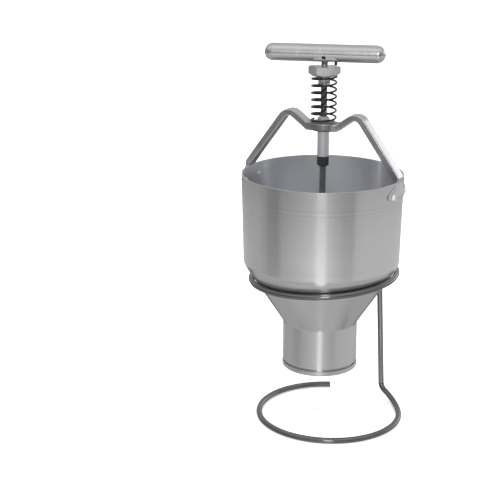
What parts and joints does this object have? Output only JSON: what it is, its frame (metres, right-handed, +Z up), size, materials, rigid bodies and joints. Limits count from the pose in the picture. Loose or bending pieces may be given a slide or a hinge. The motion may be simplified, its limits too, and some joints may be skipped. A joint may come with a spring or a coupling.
{
  "type": "batter depositor",
  "caption": "Hand-pushed batter depositor: a spun funnel in a bent-rod stand, with a yoke, a return spring, a stepped portion dial and a T-handle plunger.",
  "frame": {"origin": "on the table, under the hopper's axis", "axes": "+Z up along the plunger, +X along the yoke's arms"},
  "size_m": [0.2141, 0.2052, 0.4924],
  "materials": {
    "spun_aluminium": "satin, turned",
    "cast_aluminium": "polished casting",
    "turned_aluminium": "satin, turned",
    "stand_steel": "dull grey",
    "spring_steel": "dark, oiled",
    "bright_steel": "bright",
    "screw_steel": "blackened",
    "white_plastic": "turned food-safe plastic",
    "seal_rubber": "matt"
  },
  "bodies": {
    "stand": {"stand_rod": "stand_steel"},
    "dispenser": {"hopper": "spun_aluminium", "nozzle_die": "turned_aluminium", "die_o_ring": "seal_rubber", "yoke": "cast_aluminium", "yoke_rivets": "turned_aluminium", "guide_sleeve": "turned_aluminium", "guide_bush": "bright_steel", "sleeve_screw": "screw_steel", "return_spring": "spring_steel"},
    "thrust": {"spring_washer": "bright_steel"},
    "plunger": {"plunger_rod": "bright_steel", "t_handle": "turned_aluminium", "handle_screw": "screw_steel", "index_pin": "screw_steel", "metering_piston": "white_plastic", "piston_o_ring": "seal_rubber", "piston_clip": "bright_steel", "spacer_tube": "bright_steel", "cutter_disc": "bright_steel", "end_washer": "bright_steel", "end_nut": "bright_steel"},
    "dial": {"portion_dial": "turned_aluminium"}
  },
  "joints": [
    {"name": "hopper_lift", "type": "slide", "parent": "stand", "child": "dispenser", "axis": [0, 0, 1], "range_m": [0, 0.15]},
    {"name": "plunger_stroke", "type": "slide", "parent": "dispenser", "child": "thrust", "axis": [0, 0, -1], "range_m": [0, 0.04], "stiffness_N_per_m": 1800, "springref_m": -0.01, "deforming": ["return_spring"]},
    {"name": "handle_turn", "type": "hinge", "parent": "thrust", "child": "plunger", "pos_m": [0, 0, 0.48], "axis": [0, 0, 1], "continuous": true},
    {"name": "dial_turn", "type": "hinge", "parent": "plunger", "child": "dial", "pos_m": [0, 0, 0.461], "axis": [0, 0, 1], "continuous": true}
  ]
}
